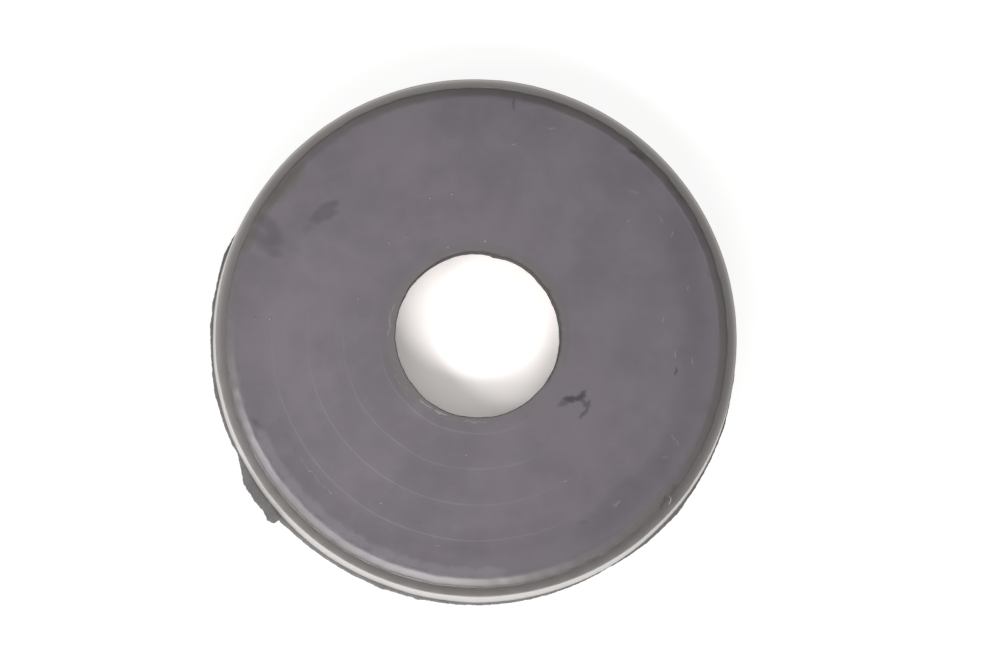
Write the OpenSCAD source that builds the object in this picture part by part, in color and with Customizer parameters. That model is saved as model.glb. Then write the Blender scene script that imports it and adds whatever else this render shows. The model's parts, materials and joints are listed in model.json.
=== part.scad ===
// Moulded rubber grommet: a flat disc with a raised face, a lower lip round
// the rim, a round bore through a thin web, and the moulding flash left on
// at the parting line, with one torn tag.
// The bore axis is Z, the disc rests on Z = 0 and its face looks along +Z.

/* [Disc] */
// Outer diameter at the top edge of the lip
lip_d = 60.2; // [56:0.2:64]
// Height from the surface it rests on to the face
total_h = 4.3; // [4:0.1:6]
// Thickness of the web round the bore
web_t = 2.1; // [1.6:0.1:2.6]
// Width of the soft shoulder at the edge of the face
shoulder_w = 1.25; // [0.8:0.05:1.5]
// Radius of the soft shoulder
shoulder_r = 2.4; // [2:0.1:3]

/* [Lip] */
// Width of the lip from the valley beside the shoulder to its outer edge
lip_w = 1.05; // [0.8:0.05:1.6]
// Depth of the lip's outer edge below the face
lip_drop = 0.5; // [0.45:0.05:0.8]
// Rise of the lip from the valley to its outer edge
lip_rise = 0.1; // [0.05:0.05:0.2]
// Radius of the rounded outer edge of the lip
lip_round = 0.3; // [0.1:0.05:0.35]
// How far the outer wall leans out from the lip down to the parting line
wall_draft = 0.2; // [0.05:0.05:0.6]

/* [Bore] */
// Diameter of the bore
bore_d = 18.9; // [12:0.1:20]
// Radius of the rounded upper edge of the bore
bore_round = 0.3; // [0.1:0.05:0.4]

/* [Witness steps] */
// Number of faint turned steps in the face
step_count = 4; // [1:1:4]
// Distance from the wall of the bore to the innermost step
step_inset = 1.95; // [1:0.05:3]
// Height of one step
step_h = 0.03; // [0.01:0.01:0.05]

/* [Underside] */
// Width of the foot ring under the rim
foot_w = 3.2; // [2.4:0.1:4]
// Radius of the fillet between the web and the foot ring
recess_fillet = 0.6; // [0.2:0.1:0.9]
// Chamfer round the outer edge of the foot
foot_chamfer = 0.2; // [0.1:0.05:0.25]

/* [Flash] */
// Height of the parting line above the resting surface
parting_h = 0.3; // [0.3:0.05:0.6]
// Thickness of the flash
flash_t = 0.15; // [0.1:0.01:0.25]
// How far the flash stands out from the wall
flash_w = 0.5; // [0.1:0.05:0.8]
// Angle at which the flash starts; beyond its run it is trimmed flush
flash_start = 155.5; // [120:0.5:180]
// Angle over which the flash runs
flash_sweep = 213; // [150:1:240]
// How far the torn tag stands out past the flash
tag_w = 1.1; // [0.5:0.1:1.5]
// Angle at which the torn tag starts
tag_start = 205.5; // [190:0.5:240]
// Angle over which the torn tag runs
tag_sweep = 17.5; // [8:0.5:24]

/* [Hidden] */
$fn = 180;
lip_r = lip_d / 2;
valley_r = lip_r - lip_w;
face_r = valley_r - shoulder_w;
bore_r = bore_d / 2;
step_first_r = bore_r + step_inset;
step_pitch = (face_r - step_first_r) / step_count;
face_edge_z = total_h - step_count * step_h;
valley_z = total_h - lip_drop - lip_rise;
lip_z = total_h - lip_drop;
parting_r = lip_r + wall_draft;
foot_r = parting_r - foot_chamfer;
recess_r = foot_r - foot_w;
web_z = total_h - web_t;
grip = 0.5;
flash_step = 1.25;

// Radius where step number i starts; one past the last is the end of the face
function step_r(i) = step_first_r + (i - 1) * step_pitch;

// Point at a radius and an angle round the disc
function polar(r, a) = [r * cos(a), r * sin(a)];

// Share of the tag's full width at a share t along it: a slope up, then a
// long torn edge that creeps outward to an abrupt end
function tag_share(t) =
    t < 0 || t > 1 ? 0
    : t < 0.38 ? 2.05 * t
    : 0.78 + 0.22 * (t - 0.38) / 0.62;

// Radius of the flash's ragged edge at an angle, with the torn tag
function flash_edge_r(a) =
    parting_r + flash_w * (0.9 + 0.1 * sin(a * 23))
    + tag_w * tag_share((a - tag_start) / tag_sweep);

// Half section of the face: flat rings, each a step lower than the last
module face_section() {
    translate([bore_r, web_z])
        square([step_first_r - bore_r, web_t]);
    for (i = [1 : step_count]) {
        translate([step_r(i) - 0.01, web_z])
            square([step_r(i + 1) - step_r(i) + 0.01, web_t - i * step_h]);
    }
    translate([face_r, face_edge_z - shoulder_r])
        intersection() {
            circle(r = shoulder_r);
            translate([-0.01, 0])
                square([shoulder_w + 0.01, shoulder_r]);
        }
}

// Half section of the rim: foot, drafted wall, lip and the valley inside it
module rim_section() {
    base = [
        [recess_r, 0],
        [foot_r, 0],
        [parting_r, foot_chamfer],
        [parting_r, parting_h]
    ];
    lip_edge = [
        for (a = [0 : 15 : 90])
            [lip_r, lip_z] + lip_round * [cos(a) - 1, sin(a) - 1]
    ];
    inside = [
        [valley_r, valley_z],
        [face_r, valley_z],
        [face_r, web_z + grip],
        [recess_r, web_z + grip]
    ];
    polygon(concat(base, lip_edge, inside));
}

// Fillet where the web turns down into the foot ring
module recess_fillet_section() {
    difference() {
        translate([recess_r - recess_fillet, web_z - recess_fillet])
            square([recess_fillet + grip, recess_fillet + grip]);
        translate([recess_r - recess_fillet, web_z - recess_fillet])
            circle(r = recess_fillet);
    }
}

// Corner that is taken off to round the upper edge of the bore
module bore_edge_cut() {
    difference() {
        translate([bore_r - grip, total_h - bore_round])
            square([bore_round + grip, bore_round + grip]);
        translate([bore_r + bore_round, total_h - bore_round])
            circle(r = bore_round);
    }
}

// Whole half section of the disc
module disc_section() {
    difference() {
        union() {
            face_section();
            rim_section();
            recess_fillet_section();
        }
        bore_edge_cut();
    }
}

// Flash at the parting line: a thin fin over part of the rim, torn in one place
module flash() {
    edge_steps = round(flash_sweep / flash_step);
    root_steps = round(edge_steps / 4);
    edge = [
        for (k = [0 : edge_steps])
            let (a = flash_start + flash_sweep * k / edge_steps)
            polar(flash_edge_r(a), a)
    ];
    root = [
        for (k = [root_steps : -1 : 0])
            polar(parting_r - grip, flash_start + flash_sweep * k / root_steps)
    ];
    translate([0, 0, parting_h])
        linear_extrude(height = flash_t)
            polygon(concat(edge, root));
}

module grommet() {
    color("dimgray")
        union() {
            rotate_extrude()
                disc_section();
            flash();
        }
}

grommet();
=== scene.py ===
"""Looks of a moulded rubber grommet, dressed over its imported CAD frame.

The disc is turned as one skin from a half section, with the unevenness that a
cheap moulding has: a ragged bore edge, broken turning lines in the face, an
uneven lip and the flash at the parting line with its torn tag.
"""
import json
import logging
import math
from dataclasses import dataclass, field
from enum import Enum
from typing import Callable, Sequence

import bpy
import numpy as np
from mathutils import Matrix, Vector

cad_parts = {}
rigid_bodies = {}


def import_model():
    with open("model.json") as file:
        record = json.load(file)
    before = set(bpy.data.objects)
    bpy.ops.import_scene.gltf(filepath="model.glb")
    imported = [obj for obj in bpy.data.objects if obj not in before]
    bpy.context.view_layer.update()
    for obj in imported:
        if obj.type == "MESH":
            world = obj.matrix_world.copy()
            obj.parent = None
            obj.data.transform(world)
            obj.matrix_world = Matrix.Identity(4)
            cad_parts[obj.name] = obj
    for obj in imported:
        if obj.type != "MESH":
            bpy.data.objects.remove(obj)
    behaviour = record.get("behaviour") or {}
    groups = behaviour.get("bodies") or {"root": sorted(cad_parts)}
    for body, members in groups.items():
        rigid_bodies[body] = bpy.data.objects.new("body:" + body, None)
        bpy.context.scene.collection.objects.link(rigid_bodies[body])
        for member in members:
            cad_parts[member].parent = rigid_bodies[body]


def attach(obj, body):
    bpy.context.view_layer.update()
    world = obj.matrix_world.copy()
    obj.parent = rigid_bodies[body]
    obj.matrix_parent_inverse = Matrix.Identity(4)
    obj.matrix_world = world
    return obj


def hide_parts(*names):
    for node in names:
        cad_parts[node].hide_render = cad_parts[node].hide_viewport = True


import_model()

LOG = logging.getLogger("grommet")
MM = 0.001
# Distance between the rings of a Wave texture at a scale of 1.
WAVE_SPACING = 0.31

Links = dict[str, bpy.types.NodeSocket]
Layers = list[tuple[str, bpy.types.NodeSocket]]
Knots = tuple[tuple[float, float], ...]


def linear_from_hex(code: str) -> tuple[float, float, float, float]:
    """Turn an sRGB hex colour into linear RGBA.

    Args:
        code: Colour such as "#6f6a70".

    Returns:
        Linear red, green, blue and an alpha of 1.
    """
    shares = [int(code[i:i + 2], 16) / 255 for i in (1, 3, 5)]
    linear = [s / 12.92 if s <= 0.04045 else ((s + 0.055) / 1.055) ** 2.4 for s in shares]
    return (linear[0], linear[1], linear[2], 1.0)


def add_node(
    tree: bpy.types.NodeTree,
    kind: str,
    settings: dict[str, object] | None = None,
    links: Links | None = None,
) -> bpy.types.Node:
    """Add a node with its settings and its incoming links.

    Args:
        tree: Node tree that takes the node.
        kind: Blender's name for the node type.
        settings: Values by property name or by input socket name.
        links: Output sockets by the name or number of the input they feed.

    Returns:
        The new node.
    """
    node = tree.nodes.new(kind)
    for name, value in (settings or {}).items():
        if name.startswith("in:"):
            key = name[3:]
            socket = node.inputs[int(key)] if key.isdigit() else node.inputs[key]
            socket.default_value = value
        else:
            setattr(node, name, value)
    for name, socket in (links or {}).items():
        target = node.inputs[int(name)] if name.isdigit() else node.inputs[name]
        tree.links.new(socket, target)
    return node


def blank_material(name: str) -> tuple[bpy.types.Material, bpy.types.NodeTree]:
    """Make a material with an empty node tree.

    Args:
        name: Name of the material.

    Returns:
        The material and its tree.
    """
    material = bpy.data.materials.new(name)
    material.use_nodes = True
    material.node_tree.nodes.clear()
    return material, material.node_tree


def smooth_share(value: np.ndarray, low: float, high: float) -> np.ndarray:
    """Rise smoothly from 0 at low to 1 at high.

    Args:
        value: Values to map.
        low: Value where the rise starts.
        high: Value where the rise ends.

    Returns:
        Shares between 0 and 1.
    """
    share = np.clip((value - low) / (high - low), 0.0, 1.0)
    return share * share * (3.0 - 2.0 * share)


def bump_at(angles: np.ndarray, centre: float, half_width: float) -> np.ndarray:
    """Make one rounded hump round an angle.

    Args:
        angles: Angles round the disc in degrees.
        centre: Angle of the hump's top.
        half_width: Angle from the top to where the hump ends.

    Returns:
        Shares from 0 away from the hump to 1 at its top.
    """
    gap = np.abs((angles - centre + 180.0) % 360.0 - 180.0)
    return 1.0 - smooth_share(gap, 0.0, half_width)


@dataclass(frozen=True)
class Unevenness:
    """Wander of a moulded edge round the disc, as a sum of seeded waves."""

    size_mm: float
    waves: tuple[int, int]
    seed: int

    def along(self, angles: np.ndarray) -> np.ndarray:
        """Give the wander at each angle.

        Args:
            angles: Angles round the disc in degrees.

        Returns:
            Offsets in millimetres, about as large as size_mm.
        """
        rng = np.random.default_rng(self.seed)
        low, high = self.waves
        counts = np.unique(np.geomspace(low, high, 24).astype(int))
        total = np.zeros_like(angles)
        for count in counts:
            height = rng.normal() / math.sqrt(len(counts))
            total += height * np.cos(np.radians(angles * count) + rng.uniform(0, math.tau))
        return total * self.size_mm


@dataclass(frozen=True)
class EdgeWander:
    """Outward and upward wander of one moulded edge, each held within limits."""

    out: Unevenness
    up: Unevenness
    out_limit: float = 0.1
    up_limits: tuple[float, float] = (-0.1, 0.1)

    def offsets(self, angles: np.ndarray) -> tuple[np.ndarray, np.ndarray]:
        """Give the edge's wander at each angle.

        Args:
            angles: Angles round the disc in degrees.

        Returns:
            Outward and upward offsets in millimetres.
        """
        out = np.clip(self.out.along(angles), -self.out_limit, self.out_limit)
        return out, np.clip(self.up.along(angles), *self.up_limits)


@dataclass(frozen=True)
class DiscSizes:
    """Sizes of the disc in millimetres, the same as the solid's."""

    lip_r: float = 30.1
    face_r: float = 27.8
    bore_r: float = 9.45
    total_h: float = 4.3
    web_z: float = 2.2
    step_h: float = 0.03
    step_count: int = 4
    step_inset: float = 1.95
    parting_r: float = 30.3
    parting_h: float = 0.3
    flash_t: float = 0.15
    foot_r: float = 30.1
    recess_r: float = 26.9
    recess_fillet: float = 0.6
    foot_chamfer: float = 0.2

    @property
    def step_first_r(self) -> float:
        """Radius of the innermost turned step."""
        return self.bore_r + self.step_inset

    @property
    def step_pitch(self) -> float:
        """Radial distance from one turned step to the next."""
        return (self.face_r - self.step_first_r) / self.step_count


class Zone(Enum):
    """Part of the disc's skin, by the finish that it takes."""

    FACE = 0
    WALL = 1
    BORE = 2


Offset = Callable[[np.ndarray], tuple[np.ndarray, np.ndarray]]


@dataclass
class HalfSection:
    """Half section of the disc, drawn as rings from the bore outwards and back."""

    radii: list[float] = field(default_factory=list)
    heights: list[float] = field(default_factory=list)
    zones: list[Zone] = field(default_factory=list)
    offsets: list[Offset | None] = field(default_factory=list)

    def ring(self, radius: float, height: float, zone: Zone, offset: Offset | None) -> None:
        """Add one ring.

        Args:
            radius: Distance from the bore's axis in millimetres.
            height: Height above the resting surface in millimetres.
            zone: Finish of the skin from this ring to the next.
            offset: Wander of the ring round the disc, if it has any.
        """
        self.radii.append(radius)
        self.heights.append(height)
        self.zones.append(zone)
        self.offsets.append(offset)

    def line(
        self,
        start: tuple[float, float],
        end: tuple[float, float],
        zone: Zone,
        offset: Offset | None,
        count: int = 1,
        ease: float = 0.02,
    ) -> None:
        """Add a straight stretch with a ring close to each end.

        Args:
            start: Radius and height of the first ring.
            end: Radius and height of the last ring.
            zone: Finish of the stretch.
            offset: Wander of its rings.
            count: Number of equal parts between its ends.
            ease: Distance from each end to the ring that keeps the stretch flat.
        """
        length = math.dist(start, end)
        edge = min(ease / length, 0.25)
        shares = [0.0, edge] + [i / count for i in range(1, count)] + [1.0 - edge, 1.0]
        for share in shares:
            radius = start[0] + (end[0] - start[0]) * share
            height = start[1] + (end[1] - start[1]) * share
            self.ring(radius, height, zone, offset)

    def arc(
        self,
        centre: tuple[float, float],
        radius: float,
        first: float,
        last: float,
        zone: Zone,
        offset: Offset | None,
        count: int,
    ) -> None:
        """Add a round stretch without its two end rings.

        Args:
            centre: Radius and height of the arc's centre.
            radius: Radius of the arc.
            first: Angle of the start in degrees.
            last: Angle of the end in degrees.
            zone: Finish of the stretch.
            offset: Wander of its rings.
            count: Number of equal parts of the arc.
        """
        for i in range(1, count):
            angle = math.radians(first + (last - first) * i / count)
            ring_r = centre[0] + radius * math.cos(angle)
            ring_z = centre[1] + radius * math.sin(angle)
            self.ring(ring_r, ring_z, zone, offset)


def turned_mesh(name: str, section: HalfSection, segments: int, closed: bool) -> bpy.types.Mesh:
    """Turn a half section round the bore's axis.

    Args:
        name: Name of the mesh.
        section: Rings of the section.
        segments: Number of parts round the disc.
        closed: Whether the last ring joins the first.

    Returns:
        The mesh in metres, with one material number per zone.
    """
    angles = np.arange(segments) * 360.0 / segments
    turns = np.radians(angles)
    rows = []
    for radius, height, offset in zip(section.radii, section.heights, section.offsets):
        out, up = offset(angles) if offset else (0.0, 0.0)
        ring_r = radius + out + np.zeros(segments)
        ring_z = height + up + np.zeros(segments)
        rows.append(np.stack([ring_r * np.cos(turns), ring_r * np.sin(turns), ring_z], axis=1))
    points = np.concatenate(rows) * MM
    count = len(section.radii)
    last = count if closed else count - 1
    quads = []
    numbers = []
    here = np.arange(segments)
    after = (here + 1) % segments
    for k in range(last):
        a = k * segments
        b = ((k + 1) % count) * segments
        quads.append(np.stack([a + here, b + here, b + after, a + after], axis=1))
        numbers.append(np.full(segments, section.zones[k].value))
    faces = np.concatenate(quads)
    mesh = bpy.data.meshes.new(name)
    mesh.from_pydata(points.tolist(), [], faces.tolist())
    mesh.polygons.foreach_set("material_index", np.concatenate(numbers).astype(np.int32))
    mesh.polygons.foreach_set("use_smooth", np.ones(len(faces), dtype=bool))
    mesh.update()
    return mesh


def tube_faces(first: int, rows: int, sides: int) -> list[tuple[int, ...]]:
    """Join rings of points that follow one another with four-sided faces.

    Args:
        first: Number of the first ring's first point.
        rows: Number of stretches between the rings.
        sides: Number of points in a ring.

    Returns:
        The faces as point numbers.
    """
    faces = []
    for row in range(rows):
        for k in range(sides):
            a = first + row * sides + k
            b = first + row * sides + (k + 1) % sides
            faces.append((a, b, b + sides, a + sides))
    return faces


def place(
    name: str,
    mesh: bpy.types.Mesh,
    materials: Sequence[bpy.types.Material],
) -> bpy.types.Object:
    """Put a mesh into the scene with its materials.

    Args:
        name: Name of the piece.
        mesh: Mesh of the piece.
        materials: Materials in the order of the mesh's material numbers.

    Returns:
        The new object.
    """
    for material in materials:
        mesh.materials.append(material)
    piece = bpy.data.objects.new(name, mesh)
    bpy.context.scene.collection.objects.link(piece)
    return piece


@dataclass(frozen=True)
class SoftSpot:
    """Oval mark on the face, by the place and size of its soft outline in millimetres."""

    x: float
    y: float
    half_length: float
    half_width: float
    turn: float
    depth: float


@dataclass(frozen=True)
class Smear:
    """Soft mark drawn along a line of points, in millimetres."""

    points: tuple[tuple[float, float], ...]
    half_width: float
    depth: float

    def spots(self) -> list[SoftSpot]:
        """Cover the line with ovals that overlap where they meet.

        Returns:
            One spot for each stretch of the line.
        """
        found = []
        for (x0, y0), (x1, y1) in zip(self.points, self.points[1:]):
            reach = math.hypot(x1 - x0, y1 - y0) / 2 + 1.5 * self.half_width
            turn = math.degrees(math.atan2(y1 - y0, x1 - x0))
            found.append(SoftSpot((x0 + x1) / 2, (y0 + y1) / 2, reach, self.half_width, turn,
                                  self.depth))
        return found


@dataclass(frozen=True)
class Band:
    """Ramp of a colour's share or of a gloss between two places, in millimetres."""

    start: float
    end: float
    low: float = 0.0
    high: float = 1.0
    soft: bool = True

    def settings(self) -> dict[str, object]:
        """Give the settings of the Map Range node that draws the ramp.

        Returns:
            Values by property name or by input socket name.
        """
        return {
            "interpolation_type": "SMOOTHSTEP" if self.soft else "LINEAR",
            "in:From Min": self.start * MM, "in:From Max": self.end * MM,
            "in:To Min": self.low, "in:To Max": self.high,
        }


def ring_points(radius: float, first: float, last: float, count: int) -> Knots:
    """Give points along a ring of the disc.

    Args:
        radius: Radius of the ring in millimetres.
        first: Angle of the first point in degrees.
        last: Angle of the last point in degrees.
        count: Number of points.

    Returns:
        The points in millimetres.
    """
    turns = np.radians(np.linspace(first, last, count))
    return tuple((radius * math.cos(turn), radius * math.sin(turn)) for turn in turns)


@dataclass(frozen=True)
class RubberPlaces:
    """Outputs that the moulded rubber's colour, gloss and relief are worked out from."""

    spot: bpy.types.NodeSocket
    radius: bpy.types.NodeSocket
    cloud: bpy.types.NodeSocket
    mottle: bpy.types.NodeSocket


@dataclass(frozen=True)
class MouldedRubber:
    """Black natural rubber, press moulded: satin, filled with carbon and chalk, so it
    looks a warm to purple grey under a studio lamp, and cloudy, with painted light and shade."""

    face_colour: str = "#706a70"
    cloud_colour: str = "#686269"
    bloom_colour: str = "#78727a"
    bare_colour: str = "#6d6968"
    # Paler lip edge and palest very edge: painted light.
    painted_light_edge_colour: str = "#8b8785"
    painted_rim_light_colour: str = "#b5b1ae"
    painted_rim_light_turn: float = math.radians(75.0)
    stain_and_shade_colour: str = "#3f3a42"
    oil_colour: str = "#605f59"
    scuff_and_highlight_colour: str = "#9b979b"
    roughness: float = 0.40
    # Direction towards which the face is painted paler, as painted light.
    painted_light_turn: float = math.radians(165.0)
    cloud_mm: float = 9.0
    mottle_mm: float = 2.6
    grain_mm: float = 0.16
    turning_mm: float = 0.42
    wander_mm: float = 2.4
    shake_mm: float = 0.7
    # Share of a mark's radius over which its outline fades.
    mark_fade: float = 0.7
    scuff_fade: float = 0.6
    # Strength and depth in millimetres of the grain, the mottle and the turning marks.
    grain_relief: tuple[float, float] = (0.12, 0.02)
    mottle_relief: tuple[float, float] = (0.30, 0.05)
    turning_relief: tuple[float, float] = (0.12, 0.006)
    # Ramps by the distance from the bore's axis.
    bore: Band = Band(12.4, 10.9, high=0.7)
    dimmed: Band = Band(22.0, 26.5, low=1.0, high=0.92)
    glossier: Band = Band(27.4, 28.2, high=-0.06)
    rim: Band = Band(28.95, 30.15)
    # Painted light: share of the paler lip towards its outer edge.
    edge: Band = Band(29.25, 30.1)
    outermost: Band = Band(29.72, 30.04)
    # Ramps across the whole disc.
    # Painted light: the lip's very edge is palest round its far half.
    far_half: Band = Band(-12.0, 12.0, high=0.6)
    # Painted light: share of the face's tone, from darker on the right to paler on the left.
    painted_light_gradient: Band = Band(-28.0, 28.0, low=0.81, high=1.02, soft=False)
    # Real stains, with painted shade in the valley and towards the rim.
    stains_and_painted_shade: tuple[Smear, ...] = (
        # A smeared S of dark release wax beside the bore, and the hook below it.
        Smear(((9.49, -7.97), (10.46, -7.48)), 0.44, 0.50),
        Smear(((10.30, -7.35), (11.38, -7.30), (12.10, -6.98)), 0.54, 0.92),
        Smear(((11.95, -7.00), (12.47, -6.30)), 0.28, 0.75),
        Smear(((12.00, -7.20), (12.38, -7.93), (12.75, -8.04)), 0.38, 0.60),
        Smear(((12.85, -7.60), (12.75, -8.20), (12.61, -8.79), (11.97, -9.32)), 0.32, 0.60),
        # A blotch on the upper left of the face.
        Smear(((-18.91, 13.46), (-18.05, 14.35), (-17.25, 14.94), (-16.67, 15.18)), 0.80, 0.40),
        Smear(((-18.60, 13.45), (-17.60, 13.95), (-16.78, 14.12)), 0.85, 0.40),
        Smear(((-19.77, 11.88), (-19.20, 12.82)), 0.65, 0.16),
        # Dark corners where the face meets the shoulder on the left.
        Smear(((-24.60, 13.10), (-23.80, 12.30), (-23.40, 11.30)), 1.3, 0.38),
        Smear(((-25.40, 11.60), (-24.60, 10.70), (-23.40, 10.90)), 1.2, 0.34),
        Smear(((-24.10, 9.90), (-22.86, 9.29)), 0.9, 0.26),
        Smear(((-24.30, 16.20), (-22.90, 17.90)), 1.0, 0.22),
        Smear(((-25.61, -10.07), (-24.90, -10.85)), 0.55, 0.36),
        # Small dark nicks.
        Smear(((22.97, -3.60), (22.93, -4.30)), 0.24, 0.70),
        Smear(((11.90, -21.60), (12.70, -21.62)), 0.35, 0.28),
        Smear(((22.60, -17.30), (22.50, -17.75)), 0.30, 0.30),
        Smear(((21.90, -18.40), (21.80, -19.20)), 0.32, 0.34),
        # Smeared dark patches between the face and the lip on the lower right.
        Smear(((21.85, -18.40), (21.52, -19.14), (21.10, -19.90)), 0.38, 0.50),
        Smear(((22.60, -17.90), (23.20, -17.20)), 0.50, 0.34),
        Smear(((21.90, -13.50), (20.73, -15.22), (19.60, -16.90)), 1.3, 0.13),
        Smear(((17.90, -16.80), (15.52, -18.82), (14.40, -20.30)), 1.3, 0.13),
        # Run of wax from the rim at the top.
        Smear(((4.21, 27.90), (4.26, 26.50)), 0.30, 0.48),
        Smear(ring_points(28.55, 70.0, 96.0, 6), 0.55, 0.16),
        # Residue inside the lip on the upper right.
        Smear(((18.08, 21.65), (18.67, 21.47), (19.37, 21.06)), 0.60, 0.60),
        # The bore's far edge, bare and dark.
        Smear(ring_points(9.68, -35.0, 120.0, 11), 0.40, 0.60),
        # Painted shade: a dark line in the valley inside the lip on the near side.
        Smear(ring_points(29.12, 186.0, 250.0, 12), 0.24, 0.60),
        Smear(ring_points(29.12, 250.0, 312.0, 12), 0.24, 0.56),
        Smear(ring_points(29.12, 216.0, 248.0, 8), 0.20, 0.40),
        # Painted shade: wide darker patches towards the rim on the near and right sides, and on
        # the right of the face.
        Smear(ring_points(24.0, 266.0, 292.0, 4), 2.4, 0.13),
        Smear(ring_points(25.8, 298.0, 338.0, 5), 2.0, 0.15),
        Smear(ring_points(25.4, -22.0, 26.0, 5), 2.4, 0.11),
        Smear(((17.0, -3.0), (19.5, 3.5)), 3.2, 0.07),
    )
    oils: tuple[Smear, ...] = (
        # Olive film where oil has soaked in beside the shoulder.
        Smear(((-23.80, 15.50), (-22.45, 16.90), (-21.42, 18.00), (-20.85, 18.88)), 1.2, 0.75),
        Smear(((-26.90, 10.19), (-25.99, 12.53), (-24.39, 14.87)), 1.1, 0.45),
        Smear(((22.09, 18.33), (23.08, 17.16), (24.23, 15.72)), 0.55, 0.95),
        Smear(ring_points(28.70, 72.0, 100.0, 6), 0.60, 0.30),
        # Darker olive on the near half of the lip.
        Smear(ring_points(29.75, 186.0, 330.0, 26), 0.50, 0.36),
        Smear(ring_points(10.45, -20.0, 120.0, 13), 0.60, 0.30),
        Smear(ring_points(10.90, 190.0, 225.0, 5), 0.80, 0.30),
    )
    # Real flecks and scrapes, and painted highlights.
    flecks_and_painted_highlights: tuple[Smear, ...] = (
        # Pale broken skin along the bore's near edge, with a painted highlight where the edge
        # faces the lamps.
        Smear(ring_points(10.00, 229.0, 239.0, 4), 0.15, 0.60),
        Smear(ring_points(9.98, 241.0, 249.0, 4), 0.13, 0.75),
        Smear(ring_points(10.06, 262.0, 276.0, 5), 0.10, 0.35),
        Smear(ring_points(10.20, 160.0, 181.0, 6), 0.12, 0.35),
        Smear(ring_points(10.60, 205.0, 222.0, 5), 0.10, 0.22),
        # Pale bloom beside the shoulder at the lower left, which also paints the shoulder's
        # highlight further in.
        Smear(ring_points(27.35, 204.0, 276.0, 12), 0.85, 0.20),
        # A few short marks in a row beside the shoulder on the near side.
        Smear(((12.39, -25.75), (12.75, -25.50)), 0.09, 0.40),
        Smear(((13.15, -25.55), (13.40, -25.20)), 0.09, 0.40),
        Smear(((14.00, -25.20), (14.46, -24.94)), 0.09, 0.40),
        # A short turning line at the lower left, drawn as its pale painted highlight.
        Smear(ring_points(24.80, 215.0, 228.0, 8), 0.07, 0.35),
        # Scrapes on the right and the lower right.
        Smear(((22.36, -11.51), (22.94, -11.97), (23.28, -12.66)), 0.12, 0.30),
        Smear(((21.19, -14.00), (22.00, -13.98)), 0.12, 0.36),
        Smear(((15.87, -19.74), (16.33, -18.94)), 0.16, 0.30),
    )
    scuffs: tuple[SoftSpot, ...] = (
        SoftSpot(18.1, 17.0, 1.1, 0.20, -25, 0.18),
        SoftSpot(21.3, 13.8, 0.9, 0.18, -60, 0.16),
        SoftSpot(21.5, 2.0, 0.5, 0.10, 80, 0.45),
        SoftSpot(24.4, 5.7, 0.45, 0.10, 60, 0.45),
        SoftSpot(22.9, -2.0, 0.6, 0.10, 85, 0.40),
        SoftSpot(24.9, -2.7, 0.6, 0.12, 85, 0.35),
        SoftSpot(17.6, 13.5, 0.5, 0.12, 30, 0.35),
        SoftSpot(22.6, 12.0, 0.5, 0.12, 60, 0.35),
        SoftSpot(8.6, 24.3, 0.7, 0.14, 10, 0.3),
        SoftSpot(4.3, 22.4, 0.4, 0.14, 20, 0.3),
        SoftSpot(10.2, -16.8, 0.6, 0.10, 15, 0.3),
        SoftSpot(16.0, -19.4, 0.9, 0.10, 30, 0.3),
        SoftSpot(-4.5, -24.3, 0.5, 0.10, 10, 0.3),
        SoftSpot(-11.0, -19.4, 0.4, 0.12, 60, 0.3),
    )

    def spot_mask(
        self,
        tree: bpy.types.NodeTree,
        place_out: bpy.types.NodeSocket,
        spots: Sequence[SoftSpot],
        edge: float,
    ) -> bpy.types.NodeSocket:
        """Join oval spots into one mask.

        Args:
            tree: Tree of the material.
            place_out: Output with the place on the disc in metres.
            spots: Spots that the mask covers.
            edge: Share of a spot's radius over which its outline fades.

        Returns:
            Output that is 0 off the spots and up to each spot's depth on it.
        """
        total: bpy.types.NodeSocket | None = None
        for spot in spots:
            mapped = add_node(tree, "ShaderNodeMapping", {
                "vector_type": "TEXTURE",
                "in:Location": (spot.x * MM, spot.y * MM, 4.2 * MM),
                "in:Rotation": (0.0, 0.0, math.radians(spot.turn)),
                "in:Scale": (spot.half_length * MM, spot.half_width * MM, 1.2 * MM),
            }, {"Vector": place_out})
            ball = add_node(tree, "ShaderNodeTexGradient", {"gradient_type": "SPHERICAL"},
                            {"Vector": mapped.outputs["Vector"]})
            fade = add_node(tree, "ShaderNodeMapRange", {
                "interpolation_type": "SMOOTHSTEP",
                "in:From Min": 0.0, "in:From Max": edge,
                "in:To Min": 0.0, "in:To Max": spot.depth,
            }, {"Value": ball.outputs[1]})
            if total is None:
                total = fade.outputs["Result"]
            else:
                joined = add_node(tree, "ShaderNodeMath", {"operation": "MAXIMUM"},
                                  {"0": total, "1": fade.outputs["Result"]})
                total = joined.outputs["Value"]
        return total

    def places(self, tree: bpy.types.NodeTree) -> RubberPlaces:
        """Add the place on the disc, its radius and the two patchy noises.

        Args:
            tree: Tree of the material.

        Returns:
            The outputs that the other nodes start from.
        """
        spot = add_node(tree, "ShaderNodeTexCoord").outputs["Object"]
        flat = add_node(tree, "ShaderNodeVectorMath",
                        {"operation": "MULTIPLY", "in:1": (1.0, 1.0, 0.0)}, {"0": spot})
        radius = add_node(tree, "ShaderNodeVectorMath", {"operation": "LENGTH"},
                          {"0": flat.outputs["Vector"]})
        cloud = add_node(tree, "ShaderNodeTexNoise", {
            "in:Scale": 1.0 / (self.cloud_mm * MM), "in:Detail": 5.0, "in:Roughness": 0.62,
        }, {"Vector": spot})
        mottle = add_node(tree, "ShaderNodeTexNoise", {
            "in:Scale": 1.0 / (self.mottle_mm * MM), "in:Detail": 3.0,
        }, {"Vector": spot})
        return RubberPlaces(spot, radius.outputs["Value"], cloud.outputs[0], mottle.outputs[0])

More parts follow.
